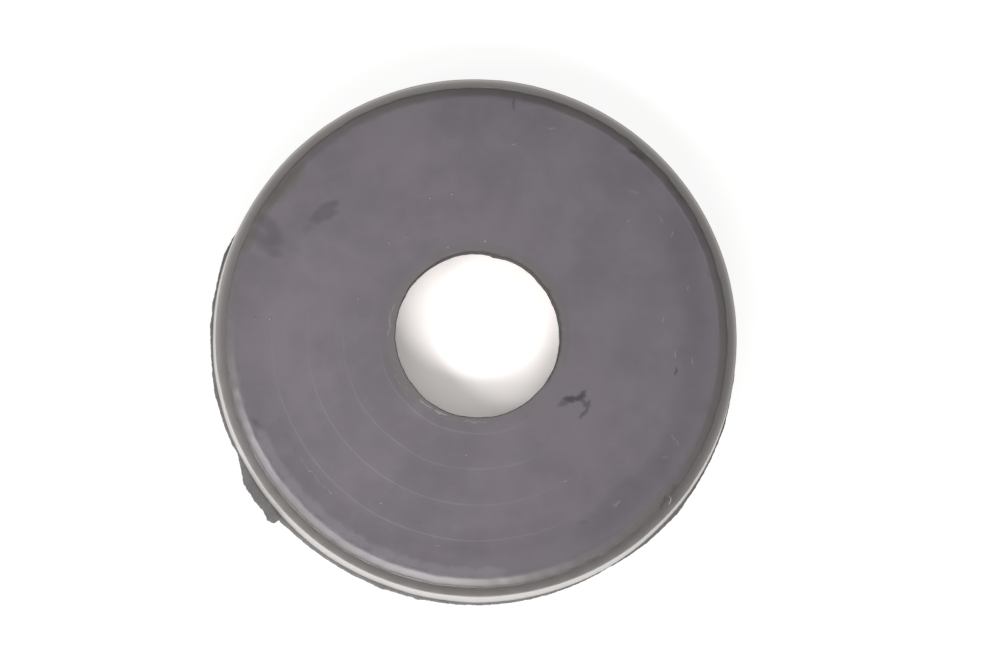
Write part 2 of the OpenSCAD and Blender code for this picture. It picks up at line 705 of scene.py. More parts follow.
    def wear(self, tree: bpy.types.NodeTree, at: RubberPlaces) -> Layers:
        """Work out where bloom has settled, where the rubber is rubbed bare and where the lip is
        painted paler as painted light.

        Args:
            tree: Tree of the material.
            at: Places and noises on the disc.

        Returns:
            Colours with the output of each one's share, from the lowest layer up.
        """
        bloom = add_node(tree, "ShaderNodeMapRange", {
            "in:From Min": 0.5, "in:From Max": 0.75, "in:To Max": 0.28,
        }, {"Value": at.mottle})
        # Handling has rubbed the bloom off the bore's edge and the rim, so the rubber's
        # own olive black shows there.
        wander = add_node(tree, "ShaderNodeMath", {
            "operation": "MULTIPLY_ADD", "in:1": self.wander_mm * MM,
        }, {"0": at.cloud, "2": at.radius})
        rim = add_node(tree, "ShaderNodeMapRange", self.rim.settings(),
                       {"Value": wander.outputs["Value"]})
        bore = add_node(tree, "ShaderNodeMapRange", self.bore.settings(),
                        {"Value": wander.outputs["Value"]})
        bare = add_node(tree, "ShaderNodeMath", {"operation": "MAXIMUM"},
                        {"0": rim.outputs["Result"], "1": bore.outputs["Result"]})
        # Painted light: the lip is painted paler towards its outer edge, which is the palest part,
        # most of all round its far half, for the light that the rounded edge catches.
        edge = add_node(tree, "ShaderNodeMapRange", self.edge.settings(), {"Value": at.radius})
        far_side = add_node(tree, "ShaderNodeVectorMath", {
            "operation": "DOT_PRODUCT",
            "in:1": (math.cos(self.painted_rim_light_turn), math.sin(self.painted_rim_light_turn), 0.0),
        }, {"0": at.spot})
        far_half = add_node(tree, "ShaderNodeMapRange", self.far_half.settings(),
                            {"Value": far_side.outputs["Value"]})
        outermost = add_node(tree, "ShaderNodeMapRange", self.outermost.settings(),
                             {"Value": at.radius})
        # Painted light: the palest colour at the lip's very edge, most round its far half.
        worn = add_node(tree, "ShaderNodeMath", {"operation": "MULTIPLY"}, {
            "0": far_half.outputs["Result"], "1": outermost.outputs["Result"]})
        return [
            (self.bloom_colour, bloom.outputs["Result"]),
            (self.bare_colour, bare.outputs["Value"]),
            (self.painted_light_edge_colour, edge.outputs["Result"]),
            (self.painted_rim_light_colour, worn.outputs["Value"]),
        ]

    def marks(self, tree: bpy.types.NodeTree, at: RubberPlaces) -> Layers:
        """Work out where the stains and painted shade, the oily film, and the scuffs and painted
        highlights lie.

        Args:
            tree: Tree of the material.
            at: Places and noises on the disc.

        Returns:
            Colours with the output of each one's share, from the lowest layer up.
        """
        # The marks' outlines are ragged: the place is shaken before it is compared.
        shake = add_node(tree, "ShaderNodeTexNoise", {
            "in:Scale": 1.0 / (self.shake_mm * MM), "in:Detail": 3.0,
        }, {"Vector": at.spot})
        centred = add_node(tree, "ShaderNodeVectorMath",
                           {"operation": "SUBTRACT", "in:1": (0.5, 0.5, 0.5)},
                           {"0": shake.outputs["Color"]})
        shaken = add_node(tree, "ShaderNodeVectorMath", {
            "operation": "MULTIPLY_ADD",
            "in:1": (self.shake_mm * MM, self.shake_mm * MM, 0.0),
        }, {"0": centred.outputs["Vector"], "2": at.spot})
        layers: Layers = []
        for code, smears, loose, fade in (
            (self.stain_and_shade_colour, self.stains_and_painted_shade, (), self.mark_fade),
            (self.oil_colour, self.oils, (), self.mark_fade),
            (self.scuff_and_highlight_colour, self.flecks_and_painted_highlights, self.scuffs, self.scuff_fade),
        ):
            spots = [*loose, *(spot for smear in smears for spot in smear.spots())]
            layers.append((code, self.spot_mask(tree, shaken.outputs["Vector"], spots, fade)))
        return layers

    def colour(self, tree: bpy.types.NodeTree, at: RubberPlaces) -> bpy.types.NodeSocket:
        """Lay the wear, the marks and the painted light and shade over the clouded rubber.

        Args:
            tree: Tree of the material.
            at: Places and noises on the disc.

        Returns:
            Output with the finished colour.
        """
        cloud_share = add_node(tree, "ShaderNodeMapRange", {
            "interpolation_type": "SMOOTHSTEP", "in:From Min": 0.36, "in:From Max": 0.64,
        }, {"Value": at.cloud})
        clouded = add_node(tree, "ShaderNodeMix", {
            "data_type": "RGBA", "in:6": linear_from_hex(self.cloud_colour),
            "in:7": linear_from_hex(self.face_colour),
        }, {"0": cloud_share.outputs["Result"]})
        covered = clouded.outputs[2]
        for code, share in (*self.wear(tree, at), *self.marks(tree, at)):
            layer = add_node(tree, "ShaderNodeMix", {
                "data_type": "RGBA", "in:7": linear_from_hex(code),
            }, {"0": share, "6": covered})
            covered = layer.outputs[2]
        # Painted light and shade: the face is paler towards the left and darker towards the right.
        # Apart from that it is darker from 22 to 26.5 mm out.
        along = add_node(tree, "ShaderNodeVectorMath", {
            "operation": "DOT_PRODUCT",
            "in:1": (math.cos(self.painted_light_turn), math.sin(self.painted_light_turn), 0.0),
        }, {"0": at.spot})
        painted_light_gradient = add_node(tree, "ShaderNodeMapRange", self.painted_light_gradient.settings(),
                         {"Value": along.outputs["Value"]})
        dimmed = add_node(tree, "ShaderNodeMapRange", self.dimmed.settings(),
                          {"Value": at.radius})
        tone = add_node(tree, "ShaderNodeMath", {"operation": "MULTIPLY"}, {
            "0": painted_light_gradient.outputs["Result"], "1": dimmed.outputs["Result"]})
        toned = add_node(tree, "ShaderNodeVectorMath", {"operation": "SCALE"},
                         {"0": covered, "Scale": tone.outputs["Value"]})
        return toned.outputs["Vector"]

    def gloss(self, tree: bpy.types.NodeTree, at: RubberPlaces) -> bpy.types.NodeSocket:
        """Vary the roughness with the clouds and polish the shoulder a little.

        Args:
            tree: Tree of the material.
            at: Places and noises on the disc.

        Returns:
            Output with the roughness.
        """
        cloudy = add_node(tree, "ShaderNodeMapRange", {
            "in:To Min": self.roughness - 0.07, "in:To Max": self.roughness + 0.09,
        }, {"Value": at.cloud})
        shoulder = add_node(tree, "ShaderNodeMapRange", self.glossier.settings(),
                            {"Value": at.radius})
        both = add_node(tree, "ShaderNodeMath", {"operation": "ADD"}, {
            "0": cloudy.outputs["Result"], "1": shoulder.outputs["Result"]})
        return both.outputs["Value"]

    def relief(self, tree: bpy.types.NodeTree, at: RubberPlaces) -> bpy.types.NodeSocket:
        """Lay the mould's grain, the mottle and the fine turning marks over each other.

        Args:
            tree: Tree of the material.
            at: Places and noises on the disc.

        Returns:
            Output with the bumped normal.
        """
        grain = add_node(tree, "ShaderNodeTexNoise", {
            "in:Scale": 1.0 / (self.grain_mm * MM), "in:Detail": 2.0,
        }, {"Vector": at.spot})
        turning = add_node(tree, "ShaderNodeTexWave", {
            "wave_type": "RINGS", "rings_direction": "Z",
            "in:Scale": WAVE_SPACING / (self.turning_mm * MM),
            "in:Distortion": 0.6, "in:Detail": 1.0, "in:Detail Scale": 0.5,
        }, {"Vector": at.spot})
        under: Links = {}
        for (strength, depth_mm), height in (
            (self.grain_relief, grain.outputs[0]),
            (self.mottle_relief, at.mottle),
            (self.turning_relief, turning.outputs[1]),
        ):
            bump = add_node(tree, "ShaderNodeBump", {
                "in:Strength": strength, "in:Distance": depth_mm * MM,
            }, {"Height": height, **under})
            under = {"Normal": bump.outputs["Normal"]}
        return under["Normal"]

    def dress(self) -> bpy.types.Material:
        """Build the material.

        Returns:
            The material for the face, the shoulder, the lip and the hidden side.
        """
        material, tree = blank_material("press_moulded_rubber")
        at = self.places(tree)
        shader = add_node(tree, "ShaderNodeBsdfPrincipled", {"in:IOR": 1.5}, {
            "Base Color": self.colour(tree, at),
            "Roughness": self.gloss(tree, at),
            "Normal": self.relief(tree, at),
        })
        add_node(tree, "ShaderNodeOutputMaterial", None, {"Surface": shader.outputs["BSDF"]})
        return material


@dataclass(frozen=True)
class PolishedRubber:
    """The same rubber where the mould was polished: the outer wall comes out glossy
    and throws back the pale ground, with a pale painted sheen mixed in, as one bright band."""

    colour: str = "#63605e"
    dull_colour: str = "#7a7775"
    mirror_colour: str = "#e3e0de"
    # Pale colour of the painted sheen seen at grazing angles.
    painted_sheen_colour: str = "#a4a19f"
    roughness: float = 0.36
    mirror_roughness: float = 0.55
    wave_mm: float = 2.5
    # Share of the painted sheen in the mirror, and where on the facing scale the mirror comes in.
    painted_sheen_share: float = 0.2
    graze_from: float = 0.5
    graze_to: float = 0.78
    graze_share: float = 0.94

    def dress(self) -> bpy.types.Material:
        """Build the material.

        Returns:
            The material for the outer wall.
        """
        material, tree = blank_material("polished_moulded_rubber")
        coords = add_node(tree, "ShaderNodeTexCoord")
        smear = add_node(tree, "ShaderNodeTexNoise", {
            "in:Scale": 1.0 / (self.wave_mm * MM), "in:Detail": 4.0,
        }, {"Vector": coords.outputs["Object"]})
        tone = add_node(tree, "ShaderNodeMix", {
            "data_type": "RGBA", "in:6": linear_from_hex(self.colour),
            "in:7": linear_from_hex(self.dull_colour),
        }, {"0": smear.outputs[0]})
        gloss = add_node(tree, "ShaderNodeMapRange", {
            "in:To Min": self.roughness - 0.05, "in:To Max": self.roughness + 0.09,
        }, {"Value": smear.outputs[0]})
        ripple = add_node(tree, "ShaderNodeBump", {
            "in:Strength": 0.25, "in:Distance": 0.03 * MM,
        }, {"Height": smear.outputs[0]})
        shader = add_node(tree, "ShaderNodeBsdfPrincipled", {
            "in:IOR": 1.52, "in:Coat Weight": 1.0, "in:Coat Roughness": 0.3, "in:Coat IOR": 1.6,
        }, {
            "Base Color": tone.outputs[2],
            "Roughness": gloss.outputs["Result"],
            "Normal": ripple.outputs["Normal"],
        })
        # Seen along its surface the polished wall mirrors the white card softly, and a pale
        # diffuse painted sheen is mixed in there.
        facing = add_node(tree, "ShaderNodeLayerWeight", {"in:Blend": 0.5})
        grazing = add_node(tree, "ShaderNodeMapRange", {
            "interpolation_type": "SMOOTHSTEP",
            "in:From Min": self.graze_from, "in:From Max": self.graze_to,
            "in:To Max": self.graze_share,
        }, {"Value": facing.outputs["Facing"]})
        mirror = add_node(tree, "ShaderNodeBsdfGlossy", {
            "in:Color": linear_from_hex(self.mirror_colour),
            "in:Roughness": self.mirror_roughness,
        })
        # Painted sheen: a pale diffuse colour seen only at grazing angles.
        painted_sheen = add_node(tree, "ShaderNodeBsdfDiffuse", {
            "in:Color": linear_from_hex(self.painted_sheen_colour)})
        veil = add_node(tree, "ShaderNodeMixShader", {"in:0": self.painted_sheen_share}, {
            "1": mirror.outputs["BSDF"], "2": painted_sheen.outputs["BSDF"]})
        mixed = add_node(tree, "ShaderNodeMixShader", None, {
            "0": grazing.outputs["Result"], "1": shader.outputs["BSDF"],
            "2": veil.outputs["Shader"]})
        add_node(tree, "ShaderNodeOutputMaterial", None, {"Surface": mixed.outputs["Shader"]})
        return material


@dataclass(frozen=True)
class PunchedRubber:
    """The bore's wall, where a punch cut the web: bare black rubber with no bloom, a
    little rough, so it draws a thin dark line round the far side of the hole."""

    colour: str = "#302d2a"
    pale_colour: str = "#403d3a"
    roughness: float = 0.7
    score_mm: float = 0.25

    def dress(self) -> bpy.types.Material:
        """Build the material.

        Returns:
            The material for the wall of the bore.
        """
        material, tree = blank_material("punched_rubber")
        coords = add_node(tree, "ShaderNodeTexCoord")
        drawn = add_node(tree, "ShaderNodeMapping", {"in:Scale": (1.0, 1.0, 0.15)},
                         {"Vector": coords.outputs["Object"]})
        score = add_node(tree, "ShaderNodeTexNoise", {
            "in:Scale": 1.0 / (self.score_mm * MM), "in:Detail": 3.0,
        }, {"Vector": drawn.outputs["Vector"]})
        tone = add_node(tree, "ShaderNodeMix", {
            "data_type": "RGBA", "in:6": linear_from_hex(self.colour),
            "in:7": linear_from_hex(self.pale_colour),
        }, {"0": score.outputs[0]})
        ridges = add_node(tree, "ShaderNodeBump", {
            "in:Strength": 0.3, "in:Distance": 0.03 * MM,
        }, {"Height": score.outputs[0]})
        shader = add_node(tree, "ShaderNodeBsdfPrincipled", {
            "in:IOR": 1.5, "in:Roughness": self.roughness,
        }, {"Base Color": tone.outputs[2], "Normal": ridges.outputs["Normal"]})
        add_node(tree, "ShaderNodeOutputMaterial", None, {"Surface": shader.outputs["BSDF"]})
        return material


@dataclass(frozen=True)
class TornRubber:
    """Thin rubber squeezed out at the parting line and torn off: matt, slightly chalky
    and mottled in dark and middle greys."""

    colour: str = "#4b4a4a"
    pale_colour: str = "#727170"
    roughness: float = 0.55
    tear_mm: float = 0.9

    def dress(self) -> bpy.types.Material:
        """Build the material.

        Returns:
            The material for the flash.
        """
        material, tree = blank_material("torn_flash_rubber")
        coords = add_node(tree, "ShaderNodeTexCoord")
        tear = add_node(tree, "ShaderNodeTexNoise", {
            "in:Scale": 1.0 / (self.tear_mm * MM), "in:Detail": 4.0, "in:Roughness": 0.6,
        }, {"Vector": coords.outputs["Object"]})
        tone = add_node(tree, "ShaderNodeMix", {
            "data_type": "RGBA", "in:6": linear_from_hex(self.colour),
            "in:7": linear_from_hex(self.pale_colour),
        }, {"0": tear.outputs[0]})
        pits = add_node(tree, "ShaderNodeBump", {
            "in:Strength": 0.4, "in:Distance": 0.04 * MM,
        }, {"Height": tear.outputs[0]})
        gloss = add_node(tree, "ShaderNodeMapRange", {
            "in:To Min": self.roughness - 0.1, "in:To Max": self.roughness + 0.15,
        }, {"Value": tear.outputs[0]})
        shader = add_node(tree, "ShaderNodeBsdfPrincipled", {"in:IOR": 1.5}, {
            "Base Color": tone.outputs[2],
            "Roughness": gloss.outputs["Result"],
            "Normal": pits.outputs["Normal"],
        })
        add_node(tree, "ShaderNodeOutputMaterial", None, {"Surface": shader.outputs["BSDF"]})
        return material


@dataclass(frozen=True)
class WorkshopDust:
    """Mineral dust and lint that stick to rubber: matt and a pale grey."""

    colour: str = "#a19d9b"
    dark_colour: str = "#878381"
    roughness: float = 0.9
    crumb_mm: float = 0.12

    def dress(self) -> bpy.types.Material:
        """Build the material.

        Returns:
            The material for the specks and the lint.
        """
        material, tree = blank_material("mineral_dust")
        coords = add_node(tree, "ShaderNodeTexCoord")
        crumbs = add_node(tree, "ShaderNodeTexNoise", {
            "in:Scale": 1.0 / (self.crumb_mm * MM), "in:Detail": 2.0,
        }, {"Vector": coords.outputs["Object"]})
        tone = add_node(tree, "ShaderNodeMix", {
            "data_type": "RGBA", "in:6": linear_from_hex(self.dark_colour),
            "in:7": linear_from_hex(self.colour),
        }, {"0": crumbs.outputs[0]})
        shader = add_node(tree, "ShaderNodeBsdfPrincipled", {"in:Roughness": self.roughness},
                          {"Base Color": tone.outputs[2]})
        add_node(tree, "ShaderNodeOutputMaterial", None, {"Surface": shader.outputs["BSDF"]})
        return material


@dataclass
class DiscBody:
    """The moulded disc: bore, face, shoulder, lip, wall, foot and recess in one skin."""

    sizes: DiscSizes
    rubber: bpy.types.Material
    wall_rubber: bpy.types.Material
    bore_rubber: bpy.types.Material
    segments: int = 720
    # Turned steps: height, half width where crisp, widening of each where worn, and
    # room on either side.
    step_drop: float = 0.048
    step_half: float = 0.13
    step_spread: tuple[float, ...] = (0.52, 0.72, 0.72, 0.72)
    step_room: float = 1.15
    soft_from: float = 27.74
    # Radius and end tilt of each round of the shoulder, from the face outwards.
    soft_rounds: Knots = ((1.0, 25.0), (6.0, 32.5), (0.45, 50.0))
    # Distance past the shoulder's foot and depth under the lip's inner edge.
    valley_rings: Knots = ((0.06, 0.05), (0.18, 0.04))
    valley_w: float = 0.28
    # Rise of the lip above the shoulder's foot, and from its inner to its outer edge.
    lip_over: float = 0.100
    lip_slope: float = 0.18
    lip_round: float = 0.10
    # Softened edges of the bore, the distance from it to the flat face, and the lump
    # and the broken skin that stand at its edge.
    bore_soft: float = 0.16
    bore_under: float = 0.08
    flat_from: float = 1.02
    lump_depth: float = 0.16
    burr_height: float = 0.045
    recess_break: float = 0.1
    bore_wander: Unevenness = Unevenness(0.03, (4, 60), 11)
    burr_wander: Unevenness = Unevenness(0.04, (6, 40), 12)
    burr_breaks: Unevenness = Unevenness(1.0, (9, 80), 13)
    shoulder_edge: EdgeWander = EdgeWander(
        Unevenness(0.05, (2, 90), 41), Unevenness(0.02, (2, 40), 42), up_limits=(-0.05, 0.03))
    valley_edge: EdgeWander = EdgeWander(
        Unevenness(0.04, (3, 70), 43), Unevenness(0.012, (3, 70), 44))
    lip_edge: EdgeWander = EdgeWander(
        Unevenness(0.012, (2, 60), 45), Unevenness(0.012, (2, 40), 46))
    wall_wander: Unevenness = Unevenness(0.015, (2, 30), 47)
    # Reach of the bore's edge beyond its plain circle by the angle in degrees.
    bore_knots: Knots = (
        (0.0, 0.14), (20.0, 0.15), (40.0, 0.20), (56.0, 0.24), (72.0, 0.25), (96.0, 0.22),
        (112.0, 0.20), (128.0, 0.12), (144.0, 0.06), (160.0, -0.01), (184.0, -0.03),
        (200.0, -0.08), (218.0, -0.10), (230.0, 0.02), (250.0, 0.05), (270.0, 0.03),
        (288.0, 0.10), (304.0, 0.09), (330.0, 0.12), (360.0, 0.14),
    )
    # Reach of the wall's base beyond the plain draft by the angle in degrees.
    flare_knots: Knots = (
        (148.0, 0.0), (157.0, 0.12), (170.0, 0.15), (180.0, 0.11), (200.0, 0.13),
        (220.0, 0.10), (232.0, 0.18), (240.0, 0.18), (250.0, 0.12), (260.0, 0.17),
        (270.0, 0.24), (290.0, 0.22), (310.0, 0.20), (330.0, 0.18), (340.0, 0.12),
        (352.0, 0.06), (368.0, 0.03), (380.0, 0.0),
    )

    def bore_edge(self, angles: np.ndarray) -> tuple[np.ndarray, np.ndarray]:
        """Wander of the bore's ragged edge, with the lump that stands into it.

        Args:
            angles: Angles round the disc in degrees.

        Returns:
            Outward and upward offsets in millimetres.
        """
        out = self.bore_wander.along(angles)
        lump = smooth_share(angles, 64.0, 75.0) * (1.0 - smooth_share(angles, 77.5, 82.0))
        out = out - self.lump_depth * lump + 0.05 * bump_at(angles, 97.0, 12.0)
        knots = np.array(self.bore_knots)
        wide = np.interp(angles, knots[:, 0], knots[:, 1])
        return np.clip(out, -0.22, 0.1) + wide, np.zeros_like(angles)

    def bore_follow(self, share: float) -> Offset:
        """Make the wander of a ring that follows the bore's edge.

        Args:
            share: Share of the edge's wander that the ring takes.

        Returns:
            Function that gives the ring's offsets.
        """
        def offsets(angles: np.ndarray) -> tuple[np.ndarray, np.ndarray]:
            """Give the ring's outward and upward offsets at each angle."""
            out, up = self.bore_edge(angles)
            return out * share, up
        return offsets

    def burr(self, angles: np.ndarray) -> tuple[np.ndarray, np.ndarray]:
        """Wander of the broken skin that stands up beside the bore's edge.

        Args:
            angles: Angles round the disc in degrees.

        Returns:
            Outward and upward offsets in millimetres.
        """
        shift = np.clip(self.burr_wander.along(angles), -0.07, 0.07)
        broken = np.clip(self.burr_breaks.along(angles), 0.0, 1.2)
        side = bump_at(angles, 222.0, 80.0)
        return 0.6 * self.bore_edge(angles)[0] + shift, self.burr_height * broken * side

    def step_edge(self, number: int, side: float) -> Offset:
        """Make the wander of one ring of a turned step.

        Args:
            number: Number of the step from the bore outwards.
            side: Place of the ring on the step, from -1 at its inner to 1 at its outer foot.

        Returns:
            Function that gives the ring's offsets; the step is crisp at the lower left
            and worn wide elsewhere.
        """
        def offsets(angles: np.ndarray) -> tuple[np.ndarray, np.ndarray]:
            """Give the ring's outward and upward offsets at each angle.

            Args:
                angles: Angles round the disc in degrees.

            Returns:
                Outward and upward offsets in millimetres.
            """
            out = np.clip(Unevenness(0.05, (2, 14), 20 + number).along(angles), -0.09, 0.09)
            worn = 1.0 - smooth_share(bump_at(angles, 235.0, 110.0), 0.0, 0.5)
            half = self.step_half + self.step_spread[number - 1] * worn
            return out + side * half, np.zeros_like(angles)
        return offsets

    def wall_bow(self, share: float) -> Offset:
        """Make the wander of one ring of the wall, which flares out unevenly to its base.

        Args:
            share: Place of the ring, from 0 at the lip to 1 at the base.

        Returns:
            Function that gives the ring's offsets.
        """
        def offsets(angles: np.ndarray) -> tuple[np.ndarray, np.ndarray]:
            """Give the ring's outward and upward offsets at each angle.

            Args:
                angles: Angles round the disc in degrees.

            Returns:
                Outward and upward offsets in millimetres.
            """
            knots = np.array(self.flare_knots)
            run = knots[0, 0] + (angles - knots[0, 0]) % 360.0
            flare = np.interp(run, knots[:, 0], knots[:, 1], right=0.0)
            return self.wall_wander.along(angles) + flare * share, np.zeros_like(angles)
        return offsets

    def draw_bore(self, path: HalfSection) -> None:
        """Draw the bore's wall, its soft edge and the uneven skin beside it.

        Args:
            path: Section that takes the rings.
        """
        s = self.sizes
        round_at = (s.bore_r + self.bore_soft, s.total_h - self.bore_soft)
        path.ring(s.bore_r + self.bore_under, s.web_z, Zone.BORE, self.bore_edge)
        path.line((s.bore_r, s.web_z + self.bore_under), (s.bore_r, round_at[1]), Zone.BORE,
                  self.bore_edge, 3)
        path.arc(round_at, self.bore_soft, 180, 112, Zone.BORE, self.bore_edge, 5)
        path.arc(round_at, self.bore_soft, 124, 90, Zone.FACE, self.bore_edge, 3)
        # The rings follow the bore's edge less and less further out.
        for gap, offset in (
            (self.bore_soft, self.bore_edge),
            (0.42, self.bore_follow(0.7)),
            (0.58, self.burr),
            (0.70, self.burr),
            (0.88, self.bore_follow(0.4)),
        ):
            path.ring(s.bore_r + gap, s.total_h, Zone.FACE, offset)

    def draw_face(self, path: HalfSection) -> float:
        """Draw the face with its turned steps.

        Args:
            path: Section that takes the rings.

        Returns:
            Height of the face where the shoulder begins.
        """
        s = self.sizes
        top = s.total_h
        start = s.bore_r + self.flat_from
        for number in range(1, s.step_count + 1):
            step_r = s.step_first_r + (number - 1) * s.step_pitch
            end = max(step_r - self.step_room, start + 0.06)
            path.line((start, top), (end, top), Zone.FACE, None)
            for side in (-1.0, -0.45, 0.0, 0.45, 1.0):
                drop = float(smooth_share(np.array(side), -1.0, 1.0)) * self.step_drop
                path.ring(step_r, top - drop, Zone.FACE, self.step_edge(number, side))
            top -= self.step_drop
            start = step_r + self.step_room
        path.line((start, top), (self.soft_from, top), Zone.FACE, None, 2)
        return top

    def draw_shoulder(self, path: HalfSection, top: float) -> tuple[float, float]:
        """Draw the soft shoulder as rounds that run into each other.

        Args:
            path: Section that takes the rings.
            top: Height of the face where the shoulder begins.

        Returns:
            Radius and height of the shoulder's foot.
        """
        edge_r, edge_z, tilt = self.soft_from, top, 0.0
        offset = self.shoulder_edge.offsets
        for radius, end in self.soft_rounds:
            centre_r = edge_r - radius * math.sin(math.radians(tilt))
            centre_z = edge_z - radius * math.cos(math.radians(tilt))
            path.arc((centre_r, centre_z), radius, 90 - tilt, 90 - end, Zone.FACE, offset, 6)
            edge_r = centre_r + radius * math.sin(math.radians(end))
            edge_z = centre_z + radius * math.cos(math.radians(end))
            path.ring(edge_r, edge_z, Zone.FACE, offset)
            tilt = end
        return edge_r, edge_z

    def draw_rim(self, path: HalfSection, edge_r: float, edge_z: float) -> None:
        """Draw the valley, the lip and the outer wall down to the flash.

        Args:
            path: Section that takes the rings.
            edge_r: Radius of the shoulder's foot.
            edge_z: Height of the shoulder's foot.
        """
        s = self.sizes
        lip_z = edge_z + self.lip_over
        inner_z = lip_z - self.lip_slope
        for gap, depth in self.valley_rings:
            path.ring(edge_r + gap, inner_z - depth, Zone.FACE, self.valley_edge.offsets)
        lip_at = (s.lip_r - self.lip_round, lip_z - self.lip_round)
        offset = self.lip_edge.offsets
        path.line((edge_r + self.valley_w, inner_z), (lip_at[0] - 0.03, lip_z - 0.005),
                  Zone.FACE, offset, 3)
        path.arc(lip_at, self.lip_round, 100, 20, Zone.FACE, offset, 5)
        path.arc(lip_at, self.lip_round, 26, 2, Zone.WALL, offset, 4)
        base_z = s.parting_h + s.flash_t
        for share in (0.0, 0.02, 0.15, 0.3, 0.45, 0.6, 0.75, 0.9, 0.98, 1.0):
            path.ring(s.lip_r + (s.parting_r - s.lip_r) * share,
                      lip_at[1] + (base_z - lip_at[1]) * share, Zone.WALL,
                      self.wall_bow(share))

    def draw_underside(self, path: HalfSection) -> None:
        """Draw the wall's base, the foot ring and the plain recess.

        Args:
            path: Section that takes the rings.
        """
        s = self.sizes
        path.line((s.parting_r, s.parting_h), (s.parting_r, s.foot_chamfer), Zone.FACE,
                  self.wall_bow(1.0))
        path.line((s.foot_r, 0.0), (s.recess_r + self.recess_break, 0.0), Zone.FACE, None, 2)
        fillet_at = (s.recess_r - s.recess_fillet, s.web_z - s.recess_fillet)
        path.line((s.recess_r, self.recess_break), (s.recess_r, fillet_at[1]), Zone.FACE,
                  None, 2)
        path.arc(fillet_at, s.recess_fillet, 0, 90, Zone.FACE, None, 6)
        path.line((fillet_at[0], s.web_z), (s.bore_r + 0.3, s.web_z), Zone.FACE, None, 3)

    def section(self) -> HalfSection:
        """Draw the half section, from the bore's lower edge round and back.

        Returns:
            The section's rings.
        """
        path = HalfSection()
        self.draw_bore(path)
        top = self.draw_face(path)
        edge_r, edge_z = self.draw_shoulder(path, top)
        self.draw_rim(path, edge_r, edge_z)
        self.draw_underside(path)
        return path

    def build(self) -> bpy.types.Object:
        """Build the disc.

        Returns:
            The disc's object.
        """
        mesh = turned_mesh("disc_body", self.section(), self.segments, True)
        return place("disc_body", mesh, (self.rubber, self.wall_rubber, self.bore_rubber))


@dataclass
class PartingFlash:
    """The thin fin of rubber at the parting line, with its torn tag."""

    sizes: DiscSizes
    rubber: bpy.types.Material
    segments: int = 2160
    root_depth: float = 0.15
    # Share of the reach and height over the fin's underside, outwards and back.
    outline: Knots = ((0.4, 0.01), (0.93, 0.04), (1.0, 0.075), (0.93, 0.11), (0.4, 0.14))
    ragged: Unevenness = Unevenness(0.022, (30, 400), 52)
    sagging: Unevenness = Unevenness(0.03, (3, 60), 53)
    torn: Unevenness = Unevenness(0.045, (60, 400), 54)
    # Reach beyond the wall in millimetres by the angle in degrees.
    reach_knots: Knots = (
        (155.5, 0.0), (157.5, 0.22), (161.9, 0.50), (165.0, 0.40), (169.0, 0.36),
        (172.5, 0.45), (175.0, 0.38), (177.5, 0.48), (180.0, 0.38), (187.0, 0.40),
        (192.0, 0.54), (196.0, 0.45), (200.0, 0.47), (204.0, 0.40), (205.8, 0.27),
        (208.0, 0.55), (209.6, 0.81), (212.1, 1.33), (213.5, 1.37), (215.4, 1.42),
        (217.4, 1.40), (219.4, 1.38), (220.5, 1.51), (221.5, 1.68), (222.1, 1.46),
        (222.9, 1.37), (223.0, 0.66), (224.4, 0.71), (225.4, 0.62), (226.5, 0.56),
        (230.0, 0.57), (237.0, 0.52), (243.0, 0.54), (247.6, 0.54),
        (249.4, 0.68), (250.6, 0.54), (256.2, 0.52), (257.5, 0.66), (259.0, 0.50),
        (262.0, 0.52), (270.0, 0.54), (278.0, 0.50), (285.0, 0.46),
        (291.0, 0.40), (295.0, 0.37), (299.5, 0.29), (304.0, 0.38), (308.0, 0.46),
        (313.0, 0.50), (317.0, 0.52), (319.4, 0.62), (322.0, 0.48), (330.0, 0.38),
        (336.0, 0.30), (340.0, 0.32), (344.0, 0.20), (349.0, 0.09), (351.5, 0.15),
        (354.0, 0.05), (361.3, 0.12), (364.0, 0.05), (368.5, 0.0),
    )

    def width(self, angles: np.ndarray) -> np.ndarray:
        """Give the flash's width beyond the wall.

        Args:
            angles: Angles round the disc in degrees.

        Returns:
            Widths in millimetres; near 0 where the flash is trimmed flush.
        """
        knots = np.array(self.reach_knots)
        run = knots[0, 0] + (angles - knots[0, 0]) % 360.0
        reach = np.interp(run, knots[:, 0], knots[:, 1], right=0.0)
        ragged = self.ragged.along(angles) * smooth_share(reach, 0.0, 0.2)
        wander = np.where(reach > 0.9, self.torn.along(angles), ragged)
        return 0.01 + np.clip(reach + wander, 0.0, None)

    def edge(self, share: float, lift: float) -> Offset:
        """Make the wander of one ring of the fin.

        Args:
            share: Share of the fin's reach at which the ring lies.
            lift: Height of the ring over the fin's underside.

        Returns:
            Function that gives the ring's offsets.
        """
        def offsets(angles: np.ndarray) -> tuple[np.ndarray, np.ndarray]:
            """Give the ring's outward and upward offsets at each angle."""
            sag = self.sagging.along(angles) * share
            return self.width(angles) * share, lift + np.clip(sag, -0.06, 0.06)
        return offsets

    def build(self) -> bpy.types.Object:
        """Build the flash as a thin closed fin.

        Returns:
            The flash's object.
        """
        s = self.sizes
        path = HalfSection()
        root = s.parting_r - self.root_depth
        path.ring(root, s.parting_h, Zone.FACE, None)
        for share, lift in self.outline:
            path.ring(s.parting_r, s.parting_h, Zone.FACE, self.edge(share, lift))
        path.ring(root, s.parting_h + s.flash_t, Zone.FACE, None)
        mesh = turned_mesh("parting_flash", path, self.segments, True)
        mesh.flip_normals()
        return place("parting_flash", mesh, (self.rubber,))


@dataclass(frozen=True)
class Speck:
    """One crumb of dust, by its place and half length in millimetres."""

    x: float
    y: float
    size: float


@dataclass(frozen=True)
class Fibre:
    """One short fibre of lint, by its line of points and half width in millimetres."""

    points: tuple[tuple[float, float, float], ...]
    half_width: float


